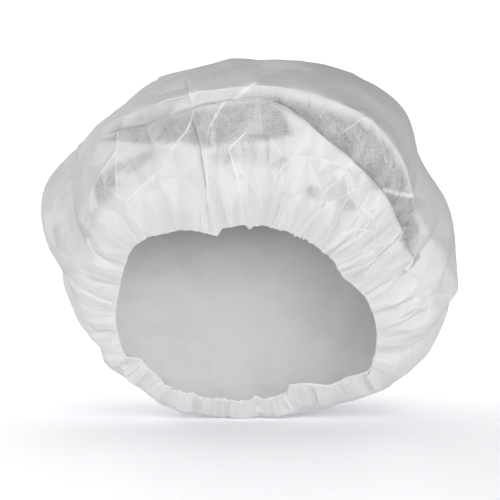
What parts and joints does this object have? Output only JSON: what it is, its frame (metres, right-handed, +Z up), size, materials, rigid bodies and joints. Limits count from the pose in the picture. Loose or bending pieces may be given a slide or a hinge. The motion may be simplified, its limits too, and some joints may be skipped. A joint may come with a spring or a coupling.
{
  "type": "disposable hair cover cap",
  "caption": "Puffed bouffant hair cover of thin white nonwoven cloth, gathered on an elastic hem, standing on its belly with its mouth to the front.",
  "frame": {"origin": "middle of the bottom of the cap's box, on the surface it stands on", "axes": "+Z up, -Y out of the mouth towards the viewer, +X to the viewer's right"},
  "size_m": [0.2796, 0.2264, 0.2441],
  "materials": {
    "nonwoven_cloth": "matt spunbonded nonwoven, thin and see-through",
    "hem_cloth": "matt spunbonded nonwoven, folded double",
    "elastic": "matt white covered elastic"
  },
  "bodies": {
    "root": {"crown": "nonwoven_cloth", "hem": "hem_cloth", "elastic_band": "elastic"}
  },
  "joints": []
}
